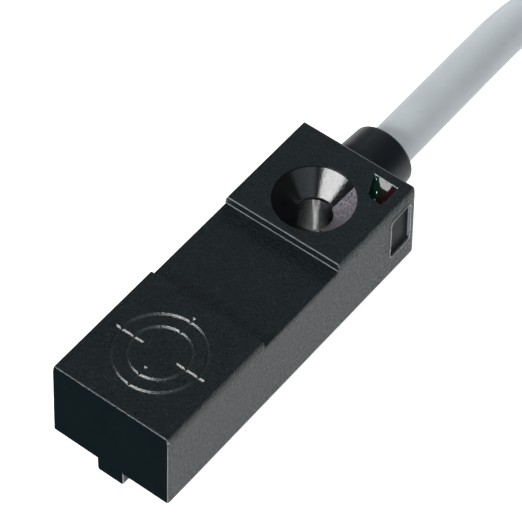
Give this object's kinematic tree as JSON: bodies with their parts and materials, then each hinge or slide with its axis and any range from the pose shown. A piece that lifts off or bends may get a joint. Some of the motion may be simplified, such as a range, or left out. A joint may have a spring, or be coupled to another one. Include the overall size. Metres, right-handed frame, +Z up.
{
  "type": "inductive proximity sensor",
  "caption": "Flat rectangular inductive proximity sensor with a countersunk screw hole, a recessed top and a moulded-in cable with bare ends.",
  "frame": {"origin": "the screw hole's axis at the seating face", "axes": "+Z up out of the sensing face, +Y along the body towards the cable, +X towards the indicator window's side"},
  "size_m": [0.037, 0.1508, 0.0229],
  "materials": {
    "housing_plastic": "fine matte moulded texture, smooth in the countersink",
    "potting_resin": "cast black resin",
    "indicator_resin": "clear smoky resin, glossy and slightly hollow",
    "ferrite": "sintered, matte",
    "bobbin_plastic": "moulded",
    "enamelled_copper": "enamelled wire",
    "board": "solder mask",
    "chip_plastic": "moulded",
    "ceramic_chip": "ceramic",
    "resistor_film": "glazed",
    "led_red": "clear",
    "led_green": "clear",
    "solder": "bright",
    "sleeve_rubber": "matte",
    "cable_sheath": "soft matte, light grey",
    "tie_nylon": "moulded",
    "core_brown": "smooth",
    "core_blue": "smooth",
    "core_black": "smooth",
    "tinned_copper": "tinned"
  },
  "bodies": {
    "root": {"housing": "housing_plastic", "potting_resin": "potting_resin", "light_guide": "indicator_resin", "ferrite_core": "ferrite", "coil_bobbin": "bobbin_plastic", "coil_winding": "enamelled_copper", "coil_leads": "enamelled_copper", "circuit_board": "board", "oscillator_ic": "chip_plastic", "output_transistor": "chip_plastic", "surge_diode": "chip_plastic", "reverse_diode": "chip_plastic", "capacitors": "ceramic_chip", "resistors": "resistor_film", "status_led": "led_red", "power_led": "led_green", "core_brown": "core_brown", "core_blue": "core_blue", "core_black": "core_black", "solder_joints": "solder", "cable_sleeve": "sleeve_rubber", "cable_sheath": "cable_sheath", "cable_hank": "cable_sheath", "cable_ties": "tie_nylon", "lead_brown": "core_brown", "lead_blue": "core_blue", "lead_black": "core_black", "lead_tips": "tinned_copper"}
  },
  "joints": []
}
